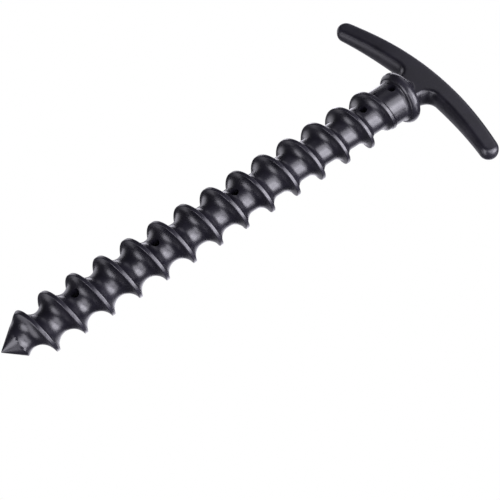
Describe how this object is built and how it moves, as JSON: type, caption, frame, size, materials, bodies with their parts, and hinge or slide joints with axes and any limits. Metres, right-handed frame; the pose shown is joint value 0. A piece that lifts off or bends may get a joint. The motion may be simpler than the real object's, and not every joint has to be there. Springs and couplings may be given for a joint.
{
  "type": "tent stake",
  "caption": "Screw-in tent stake: black moulded shaft with a deep coarse thread and conical tip, a plain rope neck under a round collar, and an arched T handle.",
  "frame": {"origin": "on the axis at the sharp tip, where the stake enters the ground", "axes": "+Z along the shaft from the tip to the handle, +X along the T handle's right arm, -Y out of the handle's front face, the side with the locating-pin holes"},
  "size_m": [0.1132, 0.0264, 0.2457],
  "materials": {
    "shaft_plastic": "satin moulded",
    "collar_plastic": "satin moulded",
    "handle_plastic": "satin moulded",
    "rod_steel": "drawn bar"
  },
  "bodies": {
    "root": {"screw_shaft": "shaft_plastic", "collar": "collar_plastic", "t_handle": "handle_plastic", "core_rod": "rod_steel"}
  },
  "joints": []
}
